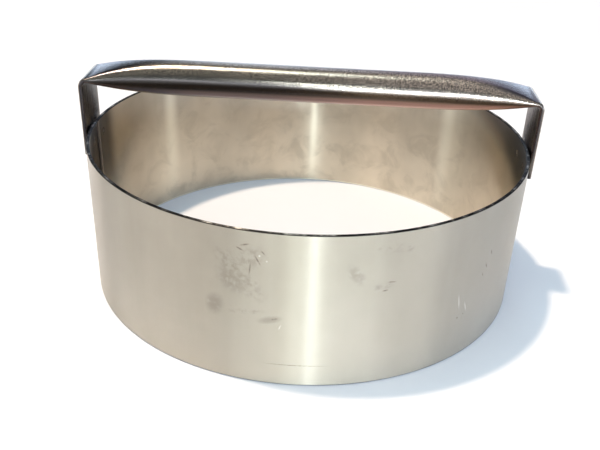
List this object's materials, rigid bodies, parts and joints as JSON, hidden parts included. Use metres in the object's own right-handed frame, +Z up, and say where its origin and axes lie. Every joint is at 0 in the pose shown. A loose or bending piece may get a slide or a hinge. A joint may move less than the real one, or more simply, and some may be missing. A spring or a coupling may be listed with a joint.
{
  "type": "pizza base cutter",
  "caption": "Deep stainless-steel ring that stamps round pizza bases from rolled dough, with a tube handle across its top whose flattened legs are spot welded to the ring.",
  "frame": {"origin": "centre of the ring at its lower cutting edge", "axes": "+X along the handle, +Y across it, +Z up the ring's axis towards the handle"},
  "size_m": [0.2078, 0.203, 0.1],
  "materials": {
    "satin_steel": "satin rolled sheet with handling marks",
    "polished_tube": "bright drawn tube, lightly grained",
    "weld_steel": "heat-darkened spot weld"
  },
  "bodies": {
    "root": {"cutting_ring": "satin_steel", "ring_seam_weld": "satin_steel", "handle_tube": "polished_tube", "spot_weld_left_front": "weld_steel", "spot_weld_left_rear": "weld_steel", "spot_weld_right_front": "weld_steel", "spot_weld_right_rear": "weld_steel"}
  },
  "joints": []
}
